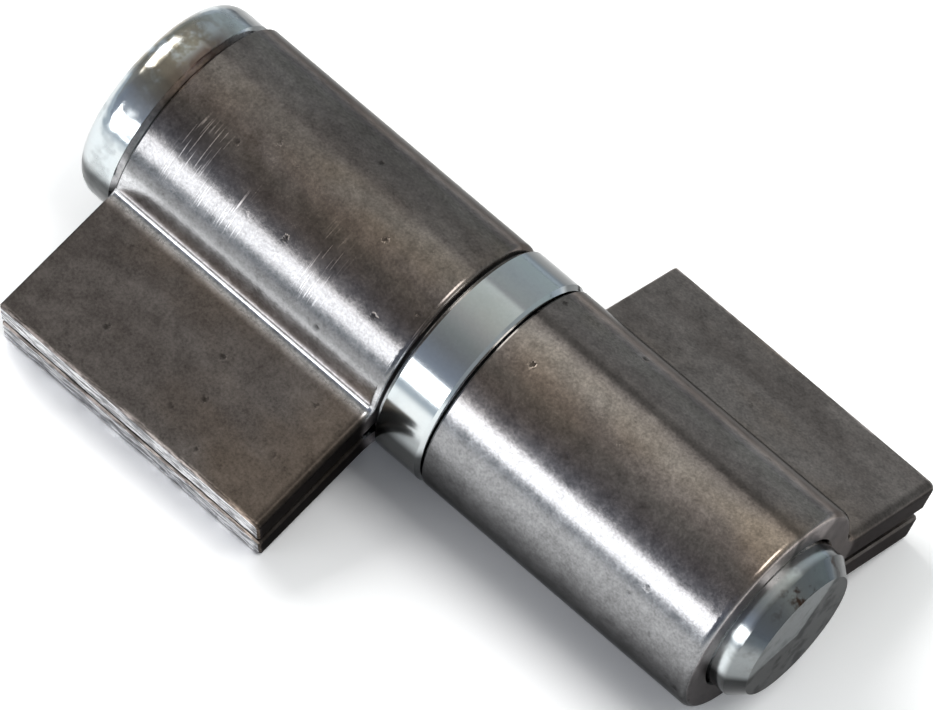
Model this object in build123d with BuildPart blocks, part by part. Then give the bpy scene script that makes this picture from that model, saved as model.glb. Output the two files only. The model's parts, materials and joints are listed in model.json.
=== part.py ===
from build123d import *
import math
import os

# Weld on barrel hinge, lying on a bench.
# The pin axis is X, with the pin's head at -X and its tip at +X. +Z is up, and the origin is on the
# pin axis, at the middle of the hinge's bounding box.
# Each leaf is one strip of steel. It is folded round the pin bore to make the barrel, and its two
# ends lie side by side, a small gap apart, to make the flag that is welded on. Both leaves are the
# same pressing, whose bend into the flag is soft on one side and tight on the other.
# Both flags hang down until they touch the bench that the ring lies on.
# All sizes are in millimetres and all angles in degrees.

# Pin
pin_diameter = 16.0
head_diameter = 21.4
head_height = 6.35
head_crown_radius = 34.0
head_edge_round = 2.4
head_seat_chamfer = 0.6
tip_reach = 3.3
tip_chamfer_length = 1.5
tip_chamfer_depth = 1.3

# Leaf strip
strip_thickness = 3.0
leaf_length = 31.6
flag_reach = 25.5
flag_gap = 1.0
soft_bend_radius = 3.0
tight_bend_radius = 0.7
rolled_edge_round = 0.7
sheared_edge_chamfer = 0.2

# Thrust ring
ring_width = 5.5
ring_proud = 0.1
ring_chamfer = 0.4

# Clearances
bore_clearance = 0.1
ring_clearance = 0.1
ring_side_gap = 0.3
head_gap = 0.2

# Two places closer than this are one
snap = 0.01

# Radii and heights that follow from the sizes above
pin_radius = pin_diameter / 2
head_radius = head_diameter / 2
bore_radius = pin_radius + bore_clearance
barrel_radius = bore_radius + strip_thickness
ring_radius = barrel_radius + ring_proud
ring_bore_radius = pin_radius + ring_clearance
flag_skin = flag_gap / 2 + strip_thickness

# Stations along the pin axis, from the crown of the head to the tip
hinge_length = (
    head_height + head_gap + 2 * leaf_length + 2 * ring_side_gap + ring_width + tip_reach
)
crown_x = -hinge_length / 2
head_seat_x = crown_x + head_height
gate_leaf_x = head_seat_x + head_gap
ring_x = gate_leaf_x + leaf_length + ring_side_gap
frame_leaf_x = ring_x + ring_width + ring_side_gap
tip_x = frame_leaf_x + leaf_length + tip_reach

# Slope of the flags: the lower corner of each flag touches the bench
corner_out = flag_reach - sheared_edge_chamfer
corner_radius = math.hypot(corner_out, flag_skin)
bench_drop = max(ring_radius, head_radius)
flag_slope = math.degrees(
    math.asin(bench_drop / corner_radius) - math.atan2(flag_skin, corner_out)
)


def bend(bend_radius):
    """How far out a bend meets the flag, and how far round the barrel from the flag it ends."""
    centre_height = flag_skin + bend_radius
    centre_out = math.sqrt((barrel_radius + bend_radius) ** 2 - centre_height**2)
    return centre_out, math.degrees(math.atan2(centre_height, centre_out))


def section_plane(x, turn):
    """Plane across the pin at x, whose own x direction is +Y turned round the pin."""
    outward = Vector(0, 1, 0).rotate(Axis.X, turn)
    return Plane(origin=(x, 0, 0), x_dir=outward, z_dir=(1, 0, 0))


def skin_distance(edge, plane):
    """How far the middle of an edge is from the strip's skin at the leaf's +X end."""
    skin = plane.offset(leaf_length) * strip_skin.line
    return skin.distance_to(edge @ 0.5)


def finish_edges(leaf, plane):
    """Rounds the skin's edge at the +X end, which the shear rolled over, and breaks the others."""
    rims = leaf.faces().filter_by(Axis.X).edges()
    rolled = rims.filter_by(lambda edge: skin_distance(edge, plane) < snap)
    fillet(rolled, radius=rolled_edge_round)
    rims = leaf.faces().filter_by(Axis.X).edges()
    sheared = rims.filter_by(lambda edge: skin_distance(edge, plane) > rolled_edge_round + snap)
    along = leaf.edges().filter_by(Axis.X)
    corners = along.filter_by(lambda edge: math.hypot(edge.center().Y, edge.center().Z) > flag_reach)
    chamfer(sheared + corners, length=sheared_edge_chamfer)


# Section of the folded strip: the outer skin is drawn from one flag end to the other, round the
# barrel, and thickened inwards
soft_out, soft_angle = bend(soft_bend_radius)
tight_angle = bend(tight_bend_radius)[1]
with BuildLine() as strip_skin:
    flag = Line((flag_reach, flag_skin), (soft_out, flag_skin))
    soft = JernArc(flag @ 1, flag % 1, soft_bend_radius, soft_angle - 90)
    barrel = JernArc(soft @ 1, soft % 1, barrel_radius, 360 - soft_angle - tight_angle)
    tight = JernArc(barrel @ 1, barrel % 1, tight_bend_radius, tight_angle - 90)
    Line(tight @ 1, (flag_reach, -flag_skin))

with BuildSketch() as strip_section:
    with BuildLine():
        add(strip_skin.line)
        offset(amount=strip_thickness, side=Side.LEFT)
    make_face()

# Leaf at the tip of the pin
with BuildPart() as frame_leaf:
    frame_plane = section_plane(frame_leaf_x, -flag_slope)
    with BuildSketch(frame_plane):
        add(strip_section.sketch)
    extrude(amount=leaf_length)
    finish_edges(frame_leaf, frame_plane)

# Leaf at the head of the pin, turned round the pin to point the other way
with BuildPart() as gate_leaf:
    gate_plane = section_plane(gate_leaf_x, 180 + flag_slope)
    with BuildSketch(gate_plane):
        add(strip_section.sketch)
    extrude(amount=leaf_length)
    finish_edges(gate_leaf, gate_plane)

# Ring that carries one barrel on the other
with BuildPart() as thrust_ring:
    with BuildSketch(Plane.YZ.offset(ring_x)):
        Circle(ring_radius)
        Circle(ring_bore_radius, mode=Mode.SUBTRACT)
    extrude(amount=ring_width)
    rims = thrust_ring.edges().filter_by(GeomType.CIRCLE)
    chamfer(rims.group_by(SortBy.RADIUS)[-1], length=ring_chamfer)

# Pin: half of its outline, from the crown of the head to the tip, turned round the axis
crown_sag = head_crown_radius - math.sqrt(head_crown_radius**2 - head_radius**2)
with BuildPart() as pin:
    with BuildSketch() as pin_outline:
        with BuildLine():
            crown = RadiusArc((crown_x, 0), (crown_x + crown_sag, head_radius), head_crown_radius)
            rim = Line(crown @ 1, (head_seat_x, head_radius))
            Polyline(
                rim @ 1,
                (head_seat_x, pin_radius),
                (tip_x - tip_chamfer_length, pin_radius),
                (tip_x, pin_radius - tip_chamfer_depth),
                (tip_x, 0),
                crown @ 0,
            )
        make_face()
        crown_corner = pin_outline.vertices().sort_by_distance(crown @ 1)[0]
        fillet(crown_corner, radius=head_edge_round)
        seat_corner = pin_outline.vertices().sort_by_distance(rim @ 1)[0]
        chamfer(seat_corner, length=head_seat_chamfer)
    revolve(axis=Axis.X)

os.makedirs("parts", exist_ok=True)
for name, piece in (
    ("frame_leaf", frame_leaf),
    ("gate_leaf", gate_leaf),
    ("thrust_ring", thrust_ring),
    ("pin", pin),
):
    piece.part.label = name
    export_step(piece.part, f"parts/{name}.step")
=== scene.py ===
"""Weld on barrel hinge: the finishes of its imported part, and the bench, light and camera round it.

Lengths in the shader formulas are in millimetres of the row frame: +X runs along the pin from its
head to its tip, +Z up from the bench. Angles round the pin are in degrees: 0 on top, 90 toward -Y
and -90 toward +Y.
"""

import json
import math

import bpy
from bpy.props import FloatProperty, FloatVectorProperty, PointerProperty
from mathutils import Matrix, Vector


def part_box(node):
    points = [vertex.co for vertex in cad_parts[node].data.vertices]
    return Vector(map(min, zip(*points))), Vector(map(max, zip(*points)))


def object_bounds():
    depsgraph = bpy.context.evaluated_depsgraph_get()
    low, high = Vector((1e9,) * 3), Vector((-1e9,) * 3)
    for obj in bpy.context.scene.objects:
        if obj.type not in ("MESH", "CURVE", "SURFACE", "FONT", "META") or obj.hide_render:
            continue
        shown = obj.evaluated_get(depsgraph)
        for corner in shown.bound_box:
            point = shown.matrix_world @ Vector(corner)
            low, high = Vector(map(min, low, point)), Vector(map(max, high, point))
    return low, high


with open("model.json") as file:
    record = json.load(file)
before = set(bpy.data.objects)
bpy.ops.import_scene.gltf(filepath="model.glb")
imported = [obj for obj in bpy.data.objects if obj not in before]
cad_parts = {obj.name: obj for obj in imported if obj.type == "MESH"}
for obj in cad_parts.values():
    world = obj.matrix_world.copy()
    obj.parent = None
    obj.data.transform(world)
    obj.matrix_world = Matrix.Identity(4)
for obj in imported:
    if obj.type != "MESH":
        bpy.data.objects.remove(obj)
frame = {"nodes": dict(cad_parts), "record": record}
cad_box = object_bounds()

bl_info = {
    "name": "Weld On Barrel Hinge",
    "version": (1, 0, 0),
    "blender": (4, 5, 0),
    "location": "View3D > Sidebar > Hinge",
    "description": "Finishes, bench, light and camera for a weld on barrel hinge",
    "category": "Object",
}

MM = 0.001
PIN_AXIS = (1, 0, 0)
MOUNTS = {mount["name"]: mount for mount in frame["record"]["mounts"]}
FLAG_NORMAL = MOUNTS["frame_flag_upper"]["axis"]
FLAG_SLOPE = math.atan2(FLAG_NORMAL[1], FLAG_NORMAL[2])
BENCH_HEIGHT = cad_box[0].z
PIN_TIP = cad_box[1].x / MM


# Shader recipes


class Wire:
    """One output of a shader node. Arithmetic on it adds the Math nodes that work it out."""

    def __init__(self, recipe, socket):
        self.recipe = recipe
        self.socket = socket

    def math(self, operation, *values):
        return self.recipe.node("Math", {"operation": operation}, dict(enumerate(values)))

    def __add__(self, other):
        return self.math("ADD", self, other)

    def __radd__(self, other):
        return self.math("ADD", other, self)

    def __sub__(self, other):
        return self.math("SUBTRACT", self, other)

    def __rsub__(self, other):
        return self.math("SUBTRACT", other, self)

    def __mul__(self, other):
        return self.math("MULTIPLY", self, other)

    def __rmul__(self, other):
        return self.math("MULTIPLY", other, self)

    def __truediv__(self, other):
        return self.math("DIVIDE", self, other)

    def __rtruediv__(self, other):
        return self.math("DIVIDE", other, self)

    def __pow__(self, other):
        return self.math("POWER", self, other)

    def __neg__(self):
        return self.math("MULTIPLY", self, -1)

    def __abs__(self):
        return self.math("ABSOLUTE", self)


class Recipe:
    """A node tree that is being filled with nodes."""

    def __init__(self, tree):
        self.tree = tree
        self.tree.nodes.clear()

    def node(self, kind, settings, sockets, out=0):
        """Adds one shader node: its settings first, then the values or wires of its sockets."""
        made = self.tree.nodes.new("ShaderNode" + kind)
        for name, value in settings.items():
            if name == "stops":
                self.set_stops(made.color_ramp, value)
            else:
                setattr(made, name, value)
        for name, value in sockets.items():
            socket = made.inputs[name]
            if isinstance(value, Wire):
                self.tree.links.new(value.socket, socket)
            else:
                socket.default_value = (*value, 1) if socket.type == "RGBA" else value
        return Wire(self, made.outputs[out]) if made.outputs else made

    def set_stops(self, ramp, stops):
        while len(ramp.elements) < len(stops):
            ramp.elements.new(1)
        for element, (place, colour) in zip(ramp.elements, stops):
            element.position = place
            element.color = (*colour, 1)

    def rise(self, value, low, high):
        """0 up to low, 1 from high, and a soft S between them."""
        sockets = {"Value": value, "From Min": low, "From Max": high}
        return self.node("MapRange", {"interpolation_type": "SMOOTHSTEP"}, sockets)

    def band(self, value, middle, half_width, softness):
        """1 within half_width of the middle, soft at both ends."""
        return 1 - self.rise(abs(value - middle), half_width - softness, half_width + softness)

    def blend(self, factor, first, second):
        """A colour between the first and the second."""
        return self.node("Mix", {"data_type": "RGBA"}, {0: factor, 6: first, 7: second}, out=2)

    def shade(self, colour, factor):
        """The colour made lighter or darker by a factor."""
        return self.vector("SCALE", colour, Scale=factor)

    def vector(self, operation, first, second=None, **sockets):
        """A Vector Math node."""
        out = 1 if operation in ("DOT_PRODUCT", "LENGTH") else 0
        sockets = {0: first, **({} if second is None else {1: second}), **sockets}
        return self.node("VectorMath", {"operation": operation}, sockets, out=out)

    def split(self, vector):
        first = self.node("SeparateXYZ", {}, {"Vector": vector})
        return [Wire(self, output) for output in first.socket.node.outputs]

    def join(self, x, y, z):
        return self.node("CombineXYZ", {}, {"X": x, "Y": y, "Z": z})

    def noise(self, vector, size, detail=2.0, roughness=0.5):
        """Cloudy noise from 0 to 1 whose blotches are about size across."""
        sockets = {"Vector": vector, "Scale": 1 / size, "Detail": detail, "Roughness": roughness}
        return self.node("TexNoise", {}, sockets)

    def cells(self, vector, size):
        """Distance to the nearest of many scattered points, in cell sizes."""
        return self.node("TexVoronoi", {}, {"Vector": vector, "Scale": 1 / size})

    def place(self):
        """The surface point in millimetres, carried along with the piece."""
        point = self.node("TexCoord", {}, {}, out="Object")
        return self.vector("SCALE", point, Scale=1 / MM)

    def turn(self, across, height):
        """Degrees round the pin."""
        radians = self.node("Math", {"operation": "ARCTAN2"}, {0: -across, 1: height})
        return radians * math.degrees(1)

    def facing(self, direction):
        """1 on faces that look along the direction, -1 on those that look against it."""
        normal = self.node("TexCoord", {}, {}, out="Normal")
        return self.vector("DOT_PRODUCT", normal, direction)

    def bump(self, height):
        """A normal from a height in millimetres."""
        return self.node("Bump", {}, {"Strength": 1.0, "Distance": MM, "Height": height})

    def finish(self, edge_tint, colour, roughness, normal):
        """A metal. edge_tint darkens what it mirrors at a glancing angle."""
        sockets = {
            "Base Color": colour,
            "Metallic": 1.0,
            "Roughness": roughness,
            "Specular Tint": (edge_tint,) * 3,
            "Normal": normal,
        }
        shader = self.node("BsdfPrincipled", {}, sockets)
        self.node("OutputMaterial", {}, {"Surface": shader})


def new_material(name):
    material = bpy.data.materials.new(name)
    material.use_nodes = True
    return material


def dress(node, material):
    """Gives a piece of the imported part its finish."""
    slots = frame["nodes"][node].data.materials
    slots.clear()
    slots.append(material)


def corners(node):
    """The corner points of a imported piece's mesh, in mm."""
    return [vertex.co / MM for vertex in frame["nodes"][node].data.vertices]


# Leaf steel: bare, as it left the mill, the press and the shear

# How much a face must look along a direction to count as looking that way
FACING = (0.8, 0.97)
# Where things lie, in mm: the flag's finish begins this far outside the barrel, and the painted
# shade on the rolled rim and the burr with its painted highlight on the flag's edge begin this far
# inside the leaf's end
BARREL_FADE = (0.3, 1.5)
NEAR_RIM_SHADE = (1.2, 0.5)
BURR_AND_GLINT_WIDTH = (0.55, 0.2)
# Degrees round the pin over which the barrels' front gets polished and their back gets a painted
# shade, and over which the painted reflection on the top of a barrel starts and ends
POLISHED_SPAN = (38, 56)
PAINTED_BACK_SHADE_SPAN = (33, 41)
PAINTED_SHEEN_START = (-4, -1.5)
PAINTED_SHEEN_END = (8, 28)
# Middle, half width and softness, in degrees, of the painted dark line over the top and of the
# scored front
PAINTED_DARK_LINE = (-5, 2.5, 2)
SCORED_BAND = (45, 16, 7)
# How much lighter a flag gets for each mm toward the tip
FLAG_DRIFT = 0.006
# Tone of each mark where it is full, 1 for no change. The back and the near rim are painted
# shade, and the burr is partly a painted highlight
PAINTED_BACK_SHADE_TONE = 0.5
NEAR_RIM_SHADE_TONE = 0.5
PIT_TONE = 0.4
BARREL_END_TONE = 2.8
SCORE_TONE = 3.4
BURR_AND_GLINT_TONE = 3.2
SHEARED_TONE = 0.85
TORN_CONTRAST = 1.2
# How the mottling and the grain make up the skin's tone
MOTTLE_TONE = 0.95
GRAIN_TONE = 1.30
SKIN_TONE = -0.1
# Roughness of the flags, and what else adds to it
FLAG_ROUGHNESS = 0.42
BARREL_ROUGHNESS = -0.22
END_ROUGHNESS = 0.15
SHEARED_ROUGHNESS = 0.1
SCORE_ROUGHNESS = 0.2
MOTTLE_ROUGHNESS = 0.16
GRAIN_ROUGHNESS = 0.10
# Heights and depths of the relief in mm
SWELL_HEIGHT = 0.015
MOTTLE_HEIGHT = 0.006
GRAIN_HEIGHT = 0.0025
PIT_DEPTH = 0.02
SCORE_DEPTH = 0.004
TORN_HEIGHT = 0.02


def pits(recipe, seed, mottle, grain):
    """1 in small ragged pits, which gather in some places."""
    ragged = recipe.vector("ADD", seed, recipe.join(mottle, grain, mottle))
    speck = 1 - recipe.rise(recipe.cells(ragged, size=3.0), 0.05, 0.16)
    return speck * recipe.rise(recipe.noise(seed, size=7.0, detail=1.0), 0.50, 0.60)


def scores(recipe, along, turn, barrel_radius):
    """1 in the fine scratches that run round a barrel's upper front, in groups."""
    arc = turn * math.radians(barrel_radius)
    line = recipe.noise(recipe.join(along * 9, arc * 0.28, 3.0), size=1.0, detail=0.0)
    group = recipe.noise(recipe.join(along * 0.22, arc * 0.05, 8.0), size=1.0, detail=1.0)
    front = recipe.band(turn, *SCORED_BAND)
    return recipe.rise(line, 0.62, 0.74) * recipe.rise(group, 0.46, 0.6) * front


def leaf_steel(node, care, outward, flag_tone, barrel_tone, painted_under_tone, painted_under_span, crest, worn):
    """Bare mill steel of one folded leaf. outward is +1 or -1, the side that its flag points to.

    The tones lighten or darken its flag and its barrel. On the barrel's lower front a further tone
    paints light or shade, over a span of degrees round the pin. crest is how much lighter the top of
    the barrel is painted as a reflection, with a painted dark line behind it, and worn how strongly
    it is scored.
    """
    material = new_material(node + "_steel")
    recipe = Recipe(material.node_tree)
    away = Vector((0, outward * math.cos(FLAG_SLOPE), -math.sin(FLAG_SLOPE)))
    flag_reach = max(corner.dot(away) for corner in corners(node))
    near_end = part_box(node)[1].x / MM
    barrel_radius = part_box(node)[1].z / MM

    # Where the point lies: on the barrel, on the flag, on a sheared end or on the flag's edge
    point = recipe.place()
    along, across, height = recipe.split(point)
    turn = recipe.turn(across, height)
    radius = (across**2 + height**2) ** 0.5
    barrel = 1 - recipe.rise(radius, *(barrel_radius + fade for fade in BARREL_FADE))
    flag = 1 - barrel
    end_face = recipe.rise(abs(recipe.facing(PIN_AXIS)), *FACING)
    flag_edge = recipe.rise(recipe.facing(away), *FACING) * flag

    # Noises: each leaf has its own, and the clouds and the torn edge's fibres run along the pin
    seed = recipe.vector("ADD", point, (40 * outward, 0, 15))
    drawn = recipe.vector("MULTIPLY", seed, (0.55, 1, 1))
    fibres = recipe.vector("MULTIPLY", seed, (0.5, 3, 3))
    cloud = recipe.rise(recipe.noise(drawn, care.cloud_size, 4.0, 0.55), 0.36, 0.64)
    stain = recipe.rise(recipe.noise(drawn, care.cloud_size * 2.4, 3.0, 0.5), 0.45, 0.62)
    swell = recipe.noise(drawn, 5.0, 1.0)
    mottle = recipe.noise(seed, 1.3, 4.0, 0.65)
    grain = recipe.noise(seed, 0.28, 3.0, 0.7)
    torn = recipe.noise(fibres, 1.0, 3.0, 0.65)

    # Marks
    # Painted light or shade: the barrel's lower front painted lighter or darker, as a reflection
    under = recipe.rise(turn, *painted_under_span) * barrel
    # Painted shade on the barrel's back
    back = recipe.rise(-turn, *PAINTED_BACK_SHADE_SPAN) * barrel
    polished = recipe.rise(turn, *POLISHED_SPAN) * barrel
    # Painted reflection: the top of the barrel painted lighter, and a painted dark line behind it
    rubbed = recipe.rise(turn, *PAINTED_SHEEN_START) * (1 - recipe.rise(turn, *PAINTED_SHEEN_END))
    painted_dark_line = recipe.band(turn, *PAINTED_DARK_LINE)
    # Painted shade on the flag's rolled near rim
    near_rim_shade = recipe.rise(along, *(near_end - inside for inside in NEAR_RIM_SHADE)) * flag
    pit = pits(recipe, seed, mottle, grain)
    score = scores(recipe, along, turn, barrel_radius) * barrel * worn
    reach = recipe.vector("DOT_PRODUCT", point, away)
    # The shear's burr on the flag's outer edge, lightened also as a painted highlight
    burr_and_glint = recipe.rise(reach, *(flag_reach - inside for inside in BURR_AND_GLINT_WIDTH))
    burr_and_glint = burr_and_glint * recipe.rise(torn, 0.42, 0.60)

    # Colour
    colour = recipe.blend(cloud, care.dark_steel, care.grey_steel)
    colour = recipe.blend(stain * 0.7, colour, care.brown_steel)
    colour = recipe.blend(polished, colour, care.polished_steel)
    colour = recipe.blend(flag_edge, colour, care.sheared_steel)
    # Painted shade on the end faces
    colour = recipe.blend(end_face * 0.9, colour, care.shaded_end_steel)

    # Tone
    tone = flag_tone * (1 + along * FLAG_DRIFT) * flag + barrel_tone * barrel
    # Painted reflection on the barrel's lower front, lighter or darker, and painted shade on its back
    tone = tone * (1 + under * (painted_under_tone - 1)) * (1 + back * (PAINTED_BACK_SHADE_TONE - 1))
    # Painted reflection on the top of the barrel, as strong as crest
    tone = tone * (1 + crest * barrel * (rubbed - painted_dark_line))
    # Painted shade on the rolled near rim
    tone = tone * (1 + near_rim_shade * (NEAR_RIM_SHADE_TONE - 1))
    tone = tone * (MOTTLE_TONE * mottle + GRAIN_TONE * grain + SKIN_TONE)
    tone = tone * (1 + pit * (PIT_TONE - 1))
    # The barrel's end annulus is lifted out of most of the painted shade on the ends
    tone = tone * (1 + end_face * barrel * (BARREL_END_TONE - 1))
    tone = tone * (1 + flag_edge * (SHEARED_TONE / flag_tone - 1))
    tone = tone * (1 + flag_edge * (torn - 0.5) * TORN_CONTRAST)
    # Burr and painted highlight on the flag's edge
    tone = tone * (1 + burr_and_glint * (BURR_AND_GLINT_TONE - 1))
    tone = tone * (1 + score * (SCORE_TONE - 1))

    # Roughness and relief
    roughness = FLAG_ROUGHNESS + barrel * BARREL_ROUGHNESS + end_face * END_ROUGHNESS
    roughness = roughness + flag_edge * SHEARED_ROUGHNESS + score * SCORE_ROUGHNESS
    roughness = roughness + (mottle - 0.5) * MOTTLE_ROUGHNESS + (grain - 0.5) * GRAIN_ROUGHNESS
    relief = swell * SWELL_HEIGHT + mottle * MOTTLE_HEIGHT + grain * GRAIN_HEIGHT
    relief = relief + flag_edge * torn * TORN_HEIGHT - pit * PIT_DEPTH - score * SCORE_DEPTH
    recipe.finish(care.steel_edge, recipe.shade(colour, tone), roughness, recipe.bump(relief))
    return material


# Zinc plate of the pin and the ring

# Degrees round the pin over which a painted shade darkens the lower front and the back, and how
# much of it
PAINTED_SHADE_FRONT = (88, 97)
PAINTED_SHADE_FRONT_SHARE = 0.88
PAINTED_SHADE_BACK = (28, 36)
PAINTED_SHADE_BACK_SHARE = 0.8
# Where the pin's chamfered tip begins, in mm back from its end, and the part of it that is stained
# least, in degrees round the pin
TIP_START = (2.2, 1.4)
TIP_CLEAN_SPAN = (10, 50)
# The smoked band on the head: its middle, half width and softness in degrees
SMOKED_BAND = (12, 26, 14)
# The rust and painted shade on the head thicken toward its seat, over these mm in front of it
SEAT_SHADE_WIDTH = (2.2, 0.8)
# Tones of the painted shade on the pin's tip and on its end face
TIP_SHADE_TONE = 0.38
TIP_FACE_SHADE_TONE = 0.72
# Vertices farther out than this share of the head's radius belong to the head
HEAD_SHARE = 0.9


def head_seat():
    """Where the pin's head bears on the leaf, in mm along the pin."""
    head_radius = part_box("pin")[1].y / MM
    return max(corner.x for corner in corners("pin") if corner.yz.length > HEAD_SHARE * head_radius)


def zinc_plate(name, care, roughness, wave, tarnish):
    """Bright zinc plate. wave is the height in mm of its head's dents, tarnish its dull share.

    The painted shade, the pin's tip and the pin's head are found by their places, so the ring and
    the pin share this recipe.
    """
    material = new_material(name)
    recipe = Recipe(material.node_tree)
    seat = head_seat()

    # Where the point lies
    point = recipe.place()
    along, across, height = recipe.split(point)
    turn = recipe.turn(across, height)
    tip = recipe.rise(along, *(PIN_TIP - inside for inside in TIP_START))
    face = recipe.rise(recipe.facing(PIN_AXIS), 0.85, 0.97) * tip
    head = 1 - recipe.rise(along, seat - 0.1, seat)

    # Noises, each moved so that no two fall together
    moved = [recipe.vector("ADD", point, offset) for offset in ((5, 9, 2), (1, 2, 3), (7, 1, 4))]
    cloud = recipe.noise(point, 4.0, 4.0, 0.6)
    grain = recipe.noise(point, 0.3, 3.0, 0.6)
    dull = recipe.rise(recipe.noise(moved[0], 3.0, 3.0, 0.6), 0.5, 0.66)
    stain = recipe.rise(recipe.noise(moved[1], 1.8, 4.0, 0.65), 0.52, 0.68)
    patch = recipe.rise(recipe.noise(moved[2], 2.6, 3.0, 0.6), 0.36, 0.52)

    # Marks
    # Painted shade on the lower front and the back
    painted_shade = recipe.rise(turn, *PAINTED_SHADE_FRONT) * PAINTED_SHADE_FRONT_SHARE
    painted_shade = painted_shade + recipe.rise(-turn, *PAINTED_SHADE_BACK) * PAINTED_SHADE_BACK_SHARE
    stain = stain * tip * (1 - face * 0.7) * (1 - 0.8 * recipe.rise(turn, *TIP_CLEAN_SPAN))
    smoked = head * recipe.band(turn, *SMOKED_BAND)
    # Rust and painted shade on the head, thickest at its seat
    seat_rust_and_shade = smoked * recipe.rise(along, *(seat - before for before in SEAT_SHADE_WIDTH))
    seat_rust_and_shade = seat_rust_and_shade * (1 - patch * 0.5)

    # Colour and tone
    colour = recipe.blend(cloud, care.cool_zinc, care.warm_zinc)
    colour = recipe.blend(stain, colour, care.rust_and_seat_shade)
    colour = recipe.blend(smoked * patch, colour, care.smoke)
    # Rust colour and painted shade near the head's seat
    colour = recipe.blend(seat_rust_and_shade * 0.9, colour, care.rust_and_seat_shade)
    # Painted shade on the lower front, the back, the pin's tip and its end face
    tone = (1 - painted_shade) * (1 + tip * (TIP_SHADE_TONE - 1)) * (1 + face * (TIP_FACE_SHADE_TONE - 1))
    tone = tone * (0.94 + 0.12 * grain - dull * tarnish * 0.4)

    # Roughness and relief
    rough = roughness + dull * tarnish * 0.25 + (grain - 0.5) * 0.04 + face * 0.25
    relief = recipe.noise(point, 3.6, 2.0, 0.5) * (wave * head + 0.004) + grain * 0.0006
    recipe.finish(care.zinc_edge, recipe.shade(colour, tone), rough, recipe.bump(relief))
    return material


# What a user may change


def colour_property(name, description, default, top=1):
    return FloatVectorProperty(
        name=name, description=description, subtype="COLOR", size=3, min=0, max=top, default=default
    )


def share_property(name, description, default):
    return FloatProperty(
        name=name, description=description, subtype="FACTOR", min=0, max=1, default=default
    )


def angle_property(name, description, degrees):
    return FloatProperty(
        name=name, description=description, subtype="ANGLE", default=math.radians(degrees)
    )


def length_property(name, description, default):
    return FloatProperty(
        name=name, description=description, unit="LENGTH", min=0, default=default
    )


class HingeLeafCare(bpy.types.PropertyGroup):
    """The bare steel of the two folded leaves."""

    dark_steel: colour_property(
        "Dark steel", "The darker clouds of the mill skin", (0.235, 0.205, 0.19)
    )
    grey_steel: colour_property(
        "Grey steel", "The lighter clouds of the mill skin", (0.32, 0.285, 0.265)
    )
    brown_steel: colour_property("Brown steel", "The heat stains", (0.33, 0.26, 0.205))
    polished_steel: colour_property(
        "Polished steel", "The barrels' front, rubbed clean", (0.27, 0.27, 0.275)
    )
    # Painted shade: the end faces are darkened for the shaded bench that they mirror
    shaded_end_steel: colour_property("End steel", "The scaled ends", (0.09, 0.082, 0.082))
    sheared_steel: colour_property(
        "Sheared steel", "The flags' sheared edges", (0.42, 0.42, 0.43)
    )
    steel_edge: share_property(
        "Glancing share", "How much of the light the steel mirrors at a glancing angle", 0.4
    )
    cloud_size: FloatProperty(
        name="Cloud size",
        description="Width of the mottling's clouds in mm",
        min=1,
        max=30,
        default=6,
    )


class HingeZincCare(bpy.types.PropertyGroup):
    """The zinc plate of the pin and the thrust ring."""

    cool_zinc: colour_property("Cool zinc", "The plate's bluish clouds", (0.60, 0.66, 0.69))
    warm_zinc: colour_property("Warm zinc", "The plate's neutral clouds", (0.66, 0.68, 0.67))
    # Also the colour of the painted shade at the head's seat
    rust_and_seat_shade: colour_property("Rust", "The brown stains at the pin's ends", (0.16, 0.10, 0.075))
    smoke: colour_property("Smoke", "The olive film on the pin's head", (0.36, 0.33, 0.27))
    zinc_edge: share_property(
        "Glancing share", "How much of the light the plate mirrors at a glancing angle", 0.8
    )


class HingeStage(bpy.types.PropertyGroup):
    """The bench, the light and the camera."""

    bench_size: length_property("Bench size", "Side of the pale bench", 12)
    bench_colour: colour_property("Bench colour", "The bench's own colour", (0.8, 0.8, 0.8))
    bench_shown: colour_property(
        "Bench shown", "The bench's colour as the camera and the metal see it", (1.3, 1.3, 1.3), top=2
    )
    bench_far: colour_property("Bench far", "The same, away from the hinge", (0.45, 0.5, 0.56))
    bench_white: length_property(
        "Bench white", "How far from the hinge the shown bench stays white", 0.068
    )
    camera_azimuth: angle_property("Azimuth", "Camera's place round the hinge", 26.09)
    camera_elevation: angle_property("Elevation", "Camera's height over the bench", 53.22)
    camera_roll: angle_property("Roll", "Camera's turn about its own line of sight", 18.98)
    camera_distance: length_property(
        "Distance", "From the hinge's middle to the camera", 0.9839
    )
    camera_lens: FloatProperty(
        name="Lens", description="Focal length in mm", subtype="DISTANCE_CAMERA", min=20, default=426.4
    )


# Pieces


class HINGE_OT_leaves(bpy.types.Operator):
    """Finish both folded leaves in bare mill steel"""

    bl_idname = "hinge.leaves"
    bl_label = "Leaf steel"

    def execute(self, context):
        care = context.scene.hinge_leaves
        gate_steel = leaf_steel(
            "gate_leaf",
            care,
            outward=-1,
            flag_tone=0.34,
            barrel_tone=0.80,
            # Painted reflection: the gate barrel's lower front painted lighter
            painted_under_tone=2.8,
            painted_under_span=(70, 78),
            crest=0.0,
            worn=1.0,
        )
        frame_steel = leaf_steel(
            "frame_leaf",
            care,
            outward=1,
            flag_tone=0.72,
            barrel_tone=1.0,
            # Painted shade: the frame barrel's lower front painted darker
            painted_under_tone=0.40,
            painted_under_span=(70, 98),
            # Painted reflection on the frame barrel's top
            crest=0.35,
            worn=0.0,
        )
        dress("gate_leaf", gate_steel)
        dress("frame_leaf", frame_steel)
        return {"FINISHED"}


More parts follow.
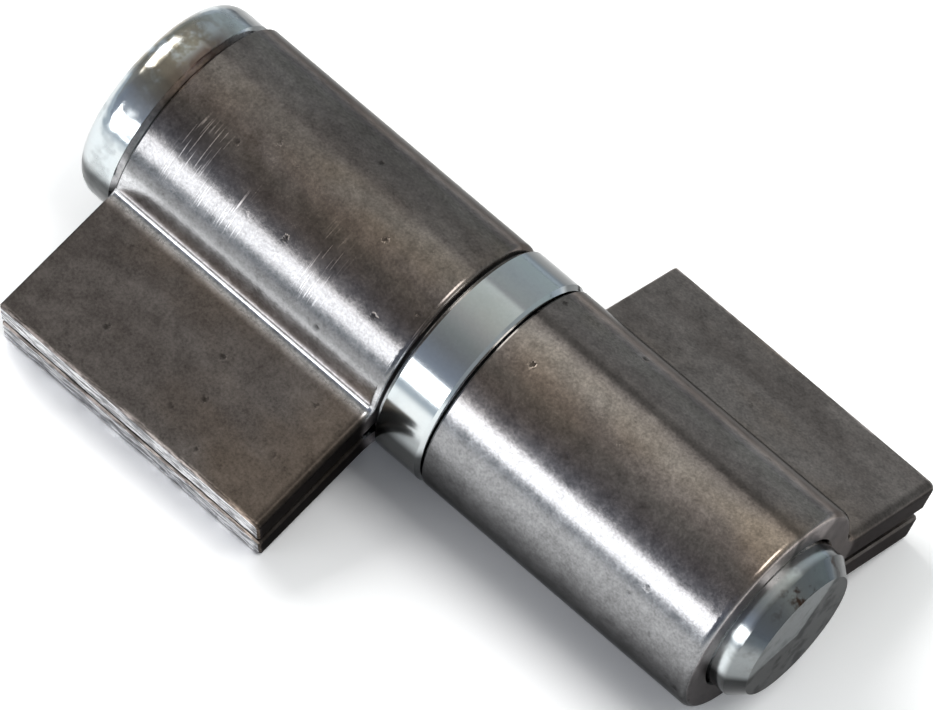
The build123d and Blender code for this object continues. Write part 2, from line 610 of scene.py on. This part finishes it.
class HINGE_OT_ring(bpy.types.Operator):
    """Finish the thrust ring in bright zinc plate"""

    bl_idname = "hinge.ring"
    bl_label = "Ring plate"

    def execute(self, context):
        care = context.scene.hinge_zinc
        dress("thrust_ring", zinc_plate("ring_zinc", care, roughness=0.12, wave=0.004, tarnish=0.1))
        return {"FINISHED"}


class HINGE_OT_pin(bpy.types.Operator):
    """Finish the headed pin in zinc plate, dented at its head"""

    bl_idname = "hinge.pin"
    bl_label = "Pin plate"

    def execute(self, context):
        care = context.scene.hinge_zinc
        dress("pin", zinc_plate("pin_zinc", care, roughness=0.15, wave=0.22, tarnish=0.5))
        return {"FINISHED"}


# Stage

# The room as the metal mirrors it: degrees about the pin, from behind the hinge to before it, and
# the colour there
ROOM = (
    (-90, (0.39, 0.45, 0.46)),
    (-60, (0.36, 0.39, 0.41)),
    (-42, (0.36, 0.38, 0.38)),
    (-36, (0.34, 0.34, 0.35)),
    (-32, (0.66, 0.68, 0.66)),
    (-20, (0.56, 0.58, 0.55)),
    (-4, (0.49, 0.49, 0.46)),
    (10, (0.38, 0.37, 0.36)),
    (26, (0.25, 0.26, 0.26)),
    (40, (0.21, 0.215, 0.23)),
    (62, (0.25, 0.28, 0.35)),
    (90, (0.30, 0.34, 0.42)),
)
# Near the pin's own line all these angles meet, so the room is one colour there
ROOM_END = (0.33, 0.35, 0.37)
ROOM_END_SPAN = (0.85, 0.97)

# The soft boxes: azimuth and elevation in degrees, width and height in metres, radiance
SOFT_BOXES = {
    "window": (-15.5, 11, (1.1, 0.44), 3.4),
    "left_box": (-97, 40, (0.8, 0.8), 4.2),
    "top_box": (100, 70, (0.6, 0.6), 3.2),
}
SOFT_BOX_DISTANCE = 1.3
# Watts that give one square metre of soft box a radiance of 1
WATTS_PER_RADIANCE = 4

SENSOR_WIDTH = 36
CLIP_START = 0.01
# The rays that see the bench's shown colour; all others light the hinge with its own
SEEING_RAYS = ("Is Camera Ray", "Is Glossy Ray", "Is Transmission Ray")


def build_room(scene):
    """The world, drawn by the angle about the pin."""
    world = bpy.data.worlds.new("studio")
    scene.world = world
    world.use_nodes = True
    recipe = Recipe(world.node_tree)
    along, across, height = recipe.split(recipe.node("TexCoord", {}, {}, out="Generated"))
    stops = [((angle + 90) / 180, colour) for angle, colour in ROOM]
    sweep = recipe.turn(across, height) / 180 + 0.5
    ramp = recipe.node("ValToRGB", {"stops": stops}, {"Fac": sweep})
    end = recipe.rise(abs(along), *ROOM_END_SPAN)
    shader = recipe.node("Background", {}, {"Color": recipe.blend(end, ramp, ROOM_END)})
    recipe.node("OutputWorld", {}, {"Surface": shader})


def aimed(azimuth, elevation, distance, roll=0):
    """A place round the hinge that looks at its middle. Azimuth 0 looks along +Y, 90 along -X."""
    flat = math.cos(elevation)
    back = Vector((math.sin(azimuth) * flat, -math.cos(azimuth) * flat, math.sin(elevation)))
    level = Vector((math.cos(azimuth), math.sin(azimuth), 0))
    right = level * math.cos(roll) + back.cross(level) * math.sin(roll)
    turn = Matrix((right, back.cross(right), back)).transposed()
    return Matrix.Translation(back * distance) @ turn.to_4x4()


def add_soft_box(scene, name, azimuth, elevation, size, radiance):
    """A lamp that faces the hinge, and that the camera doesn't see."""
    data = bpy.data.lights.new(name, "AREA")
    data.shape = "RECTANGLE"
    data.size, data.size_y = size
    data.energy = radiance * WATTS_PER_RADIANCE * data.size * data.size_y
    lamp = bpy.data.objects.new(name, data)
    lamp.matrix_world = aimed(math.radians(azimuth), math.radians(elevation), SOFT_BOX_DISTANCE)
    lamp.visible_camera = False
    scene.collection.objects.link(lamp)


def bench_finish(stage):
    """Diffuse, and whiter to the camera and to mirroring metal than to the light that it returns."""
    material = new_material("bench_white")
    recipe = Recipe(material.node_tree)
    rays = [recipe.node("LightPath", {}, {}, out=ray) for ray in SEEING_RAYS]
    seen = rays[0].math("MAXIMUM", rays[0].math("MAXIMUM", rays[0], rays[1]), rays[2])
    distance = recipe.vector("LENGTH", recipe.place())
    fade = recipe.rise(distance, stage.bench_white / MM, stage.bench_white * 2 / MM)
    shown_colour = recipe.blend(fade, stage.bench_shown, stage.bench_far)
    lit = recipe.node("BsdfDiffuse", {}, {"Color": stage.bench_colour})
    shown = recipe.node("BsdfDiffuse", {}, {"Color": shown_colour})
    both = recipe.node("MixShader", {}, {0: seen, 1: lit, 2: shown})
    recipe.node("OutputMaterial", {}, {"Surface": both})
    return material


def add_bench(scene, stage):
    """A square bench top under the hinge."""
    half = stage.bench_size / 2
    square = [(-half, -half), (half, -half), (half, half), (-half, half)]
    mesh = bpy.data.meshes.new("bench")
    mesh.from_pydata([(x, y, BENCH_HEIGHT) for x, y in square], [], [(0, 1, 2, 3)])
    mesh.materials.append(bench_finish(stage))
    bench = bpy.data.objects.new("bench", mesh)
    scene.collection.objects.link(bench)


def add_camera(scene, stage):
    """The camera, turned to the hinge's middle."""
    data = bpy.data.cameras.new("camera")
    data.lens = stage.camera_lens
    data.sensor_width = SENSOR_WIDTH
    data.clip_start = CLIP_START
    camera = bpy.data.objects.new("camera", data)
    camera.matrix_world = aimed(
        stage.camera_azimuth, stage.camera_elevation, stage.camera_distance, stage.camera_roll
    )
    scene.collection.objects.link(camera)
    scene.camera = camera


class HINGE_OT_stage(bpy.types.Operator):
    """Set up the pale bench, the soft light and the camera"""

    bl_idname = "hinge.stage"
    bl_label = "Stage"

    def execute(self, context):
        scene = context.scene
        stage = scene.hinge_stage
        add_bench(scene, stage)
        build_room(scene)
        for name, box in SOFT_BOXES.items():
            add_soft_box(scene, name, *box)
        add_camera(scene, stage)
        scene.view_settings.view_transform = "Standard"
        return {"FINISHED"}


# Sidebar and registration


class HINGE_PT_panel(bpy.types.Panel):
    """The hinge's finishes and stage in the sidebar"""

    bl_idname = "HINGE_PT_panel"
    bl_label = "Weld on barrel hinge"
    bl_space_type = "VIEW_3D"
    bl_region_type = "UI"
    bl_category = "Hinge"

    def draw(self, context):
        layout = self.layout
        for operator in OPERATORS:
            layout.operator(operator.bl_idname)
        for name in GROUPS:
            group = getattr(context.scene, name)
            box = layout.box()
            for field in group.__annotations__:
                box.prop(group, field)


OPERATORS = (HINGE_OT_leaves, HINGE_OT_ring, HINGE_OT_pin, HINGE_OT_stage)
GROUPS = {"hinge_leaves": HingeLeafCare, "hinge_zinc": HingeZincCare, "hinge_stage": HingeStage}


def register():
    for cls in (*GROUPS.values(), *OPERATORS, HINGE_PT_panel):
        bpy.utils.register_class(cls)
    for name, group in GROUPS.items():
        setattr(bpy.types.Scene, name, PointerProperty(type=group))


def unregister():
    for name in GROUPS:
        delattr(bpy.types.Scene, name)
    for cls in (HINGE_PT_panel, *reversed(OPERATORS), *reversed(GROUPS.values())):
        bpy.utils.unregister_class(cls)


def main():
    register()
    bpy.ops.hinge.leaves()
    bpy.ops.hinge.ring()
    bpy.ops.hinge.pin()
    bpy.ops.hinge.stage()


if __name__ == "__main__":
    main()
